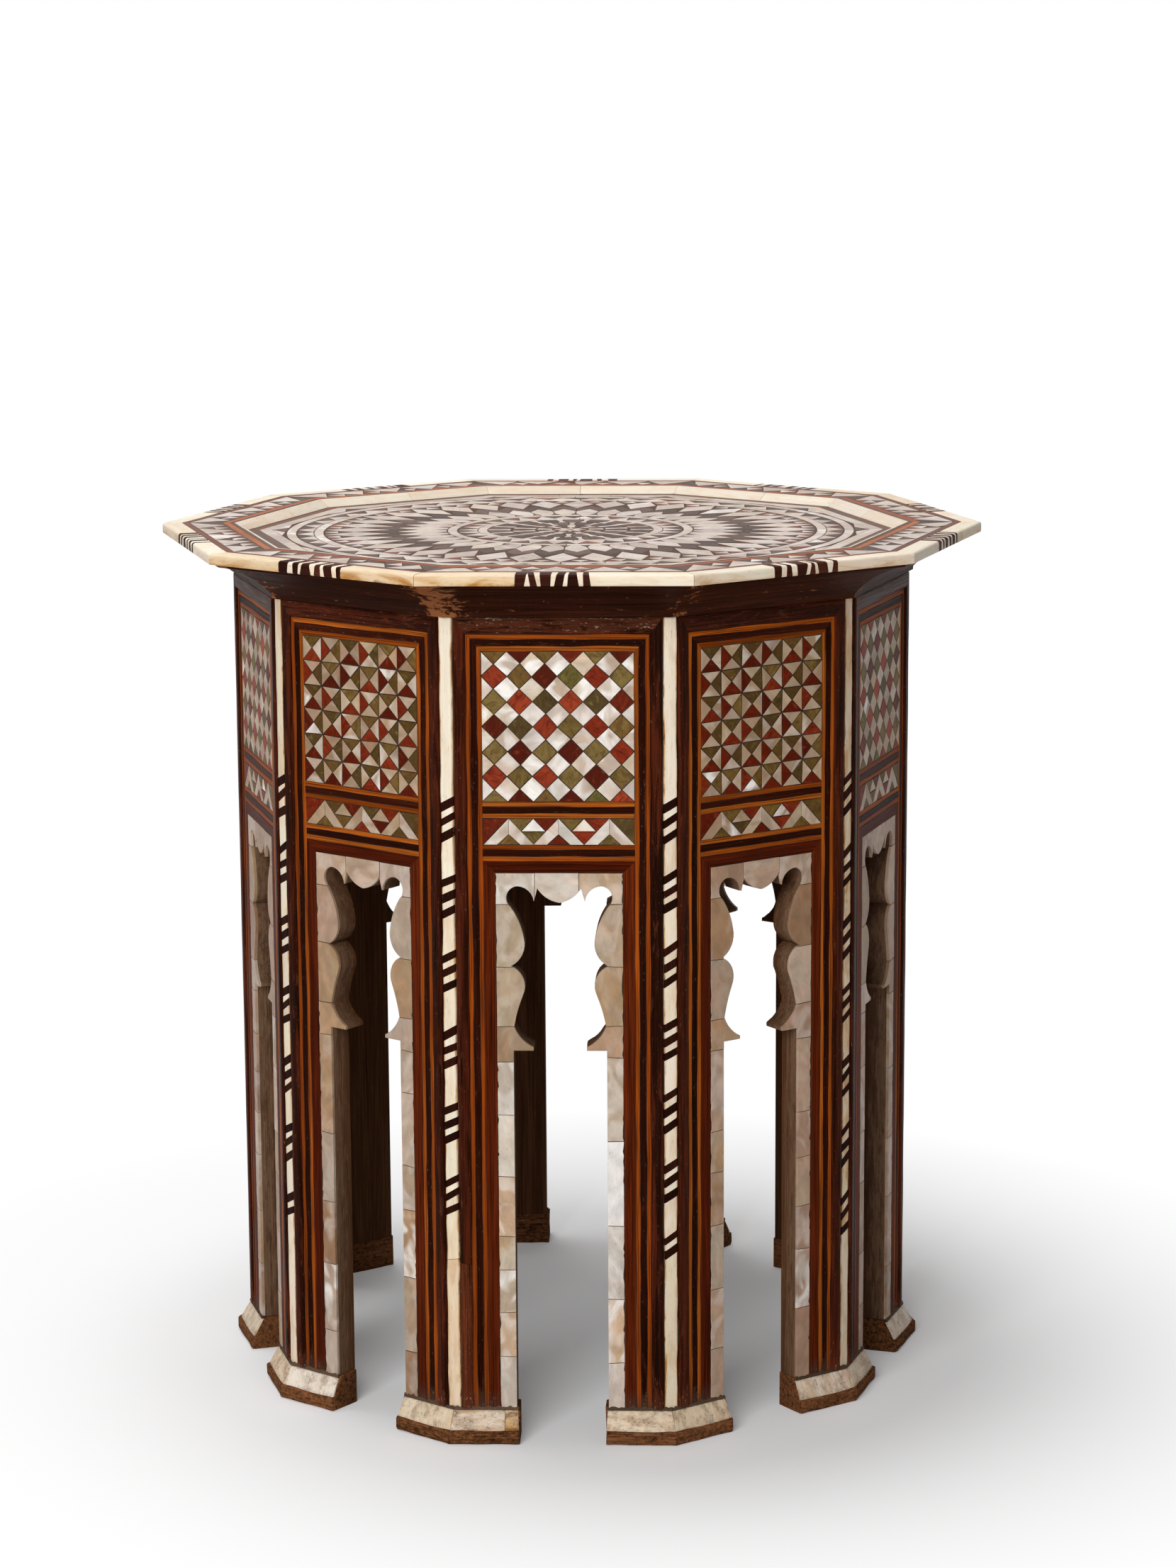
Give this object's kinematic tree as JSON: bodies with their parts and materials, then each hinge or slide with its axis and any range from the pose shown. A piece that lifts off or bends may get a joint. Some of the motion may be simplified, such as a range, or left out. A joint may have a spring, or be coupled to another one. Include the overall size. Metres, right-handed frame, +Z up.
{
  "type": "side table",
  "caption": "Ten-sided inlaid side table with lobed arches between its legs and a shallow tray top.",
  "frame": {"origin": "on the floor, under the middle of the table", "axes": "+Z up, -Y out of side 1, a corner of the top on each of +X and -X"},
  "size_m": [0.542, 0.5154, 0.56],
  "materials": {
    "carcass_wood": "bare, unfinished",
    "foot_wood": "bare, worn",
    "cove_wood": "dark stain, worn",
    "moulding_wood": "dark stain, half gloss",
    "dark_wood": "half gloss",
    "orange_wood": "half gloss",
    "red_brown_wood": "half gloss",
    "brown_wood": "half gloss",
    "bone": "polished",
    "pearl": "polished",
    "red_inlay": "polished",
    "green_inlay": "polished"
  },
  "bodies": {
    "root": {"side_board_1": "carcass_wood", "side_board_2": "carcass_wood", "side_board_3": "carcass_wood", "side_board_4": "carcass_wood", "side_board_5": "carcass_wood", "side_board_6": "carcass_wood", "side_board_7": "carcass_wood", "side_board_8": "carcass_wood", "side_board_9": "carcass_wood", "side_board_10": "carcass_wood", "foot_1": "foot_wood", "foot_2": "foot_wood", "foot_3": "foot_wood", "foot_4": "foot_wood", "foot_5": "foot_wood", "foot_6": "foot_wood", "foot_7": "foot_wood", "foot_8": "foot_wood", "foot_9": "foot_wood", "foot_10": "foot_wood", "cove_1": "cove_wood", "cove_2": "cove_wood", "cove_3": "cove_wood", "cove_4": "cove_wood", "cove_5": "cove_wood", "cove_6": "cove_wood", "cove_7": "cove_wood", "cove_8": "cove_wood", "cove_9": "cove_wood", "cove_10": "cove_wood", "glue_blocks": "carcass_wood", "top_planks": "carcass_wood", "rim_frame": "carcass_wood", "corner_bone": "bone", "corner_bars": "dark_wood", "panel_moulding": "moulding_wood", "panel_strings": "orange_wood", "panel_fillets": "dark_wood", "panel_bands": "red_brown_wood", "panel_pearl": "pearl", "panel_red": "red_inlay", "panel_green": "green_inlay", "arch_pearl": "pearl", "foot_facing": "bone", "edge_bone": "bone", "edge_bars": "dark_wood", "rim_strings": "orange_wood", "rim_dark_strings": "dark_wood", "rim_pearl": "pearl", "rim_dark": "brown_wood", "tray_wall": "bone", "field_band": "brown_wood", "field_line": "pearl", "field_rings": "pearl", "field_pearl": "pearl", "field_dark": "brown_wood", "field_red": "red_inlay"}
  },
  "joints": []
}
